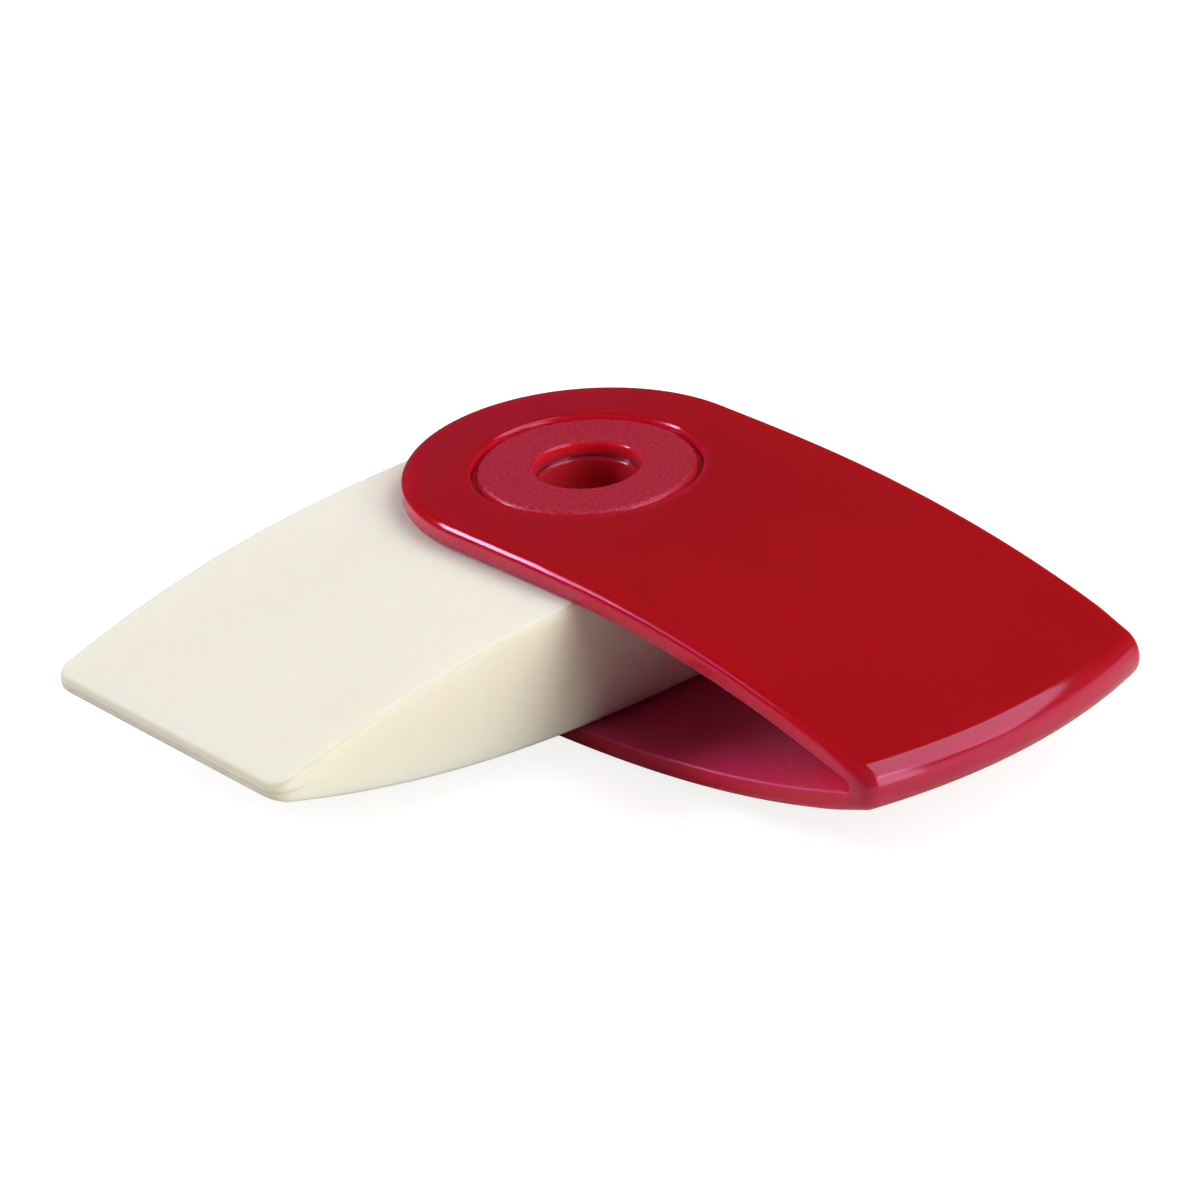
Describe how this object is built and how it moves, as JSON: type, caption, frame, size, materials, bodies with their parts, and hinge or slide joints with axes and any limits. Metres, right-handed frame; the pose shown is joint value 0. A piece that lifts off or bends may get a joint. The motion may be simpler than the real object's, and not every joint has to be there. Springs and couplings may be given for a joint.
{
  "type": "eraser with sleeve",
  "caption": "Wedge-shaped vinyl eraser that swings out of a domed plastic sleeve on a hollow round hub, like a blade out of a pocket knife.",
  "frame": {"origin": "on the pivot axis at the middle of the thickness, in the hole through the hub", "axes": "+Z along the pivot axis, +X along the sleeve from the pivot to its closed nose; the eraser is swung out towards -Y at rest"},
  "size_m": [0.0549, 0.0502, 0.0128],
  "materials": {
    "sleeve_plastic": "gloss red, polished moulding",
    "eraser_vinyl": "matte cream vinyl",
    "hub_plastic": "frosted red, fine spark texture"
  },
  "bodies": {
    "sleeve": {"sleeve": "sleeve_plastic"},
    "eraser": {"eraser_block": "eraser_vinyl", "hub_cap": "hub_plastic", "hub_barrel": "hub_plastic"}
  },
  "joints": [
    {"name": "eraser_swivel", "type": "hinge", "parent": "sleeve", "child": "eraser", "pos_m": [0, 0, 0], "axis": [0, 0, 1], "continuous": true}
  ]
}
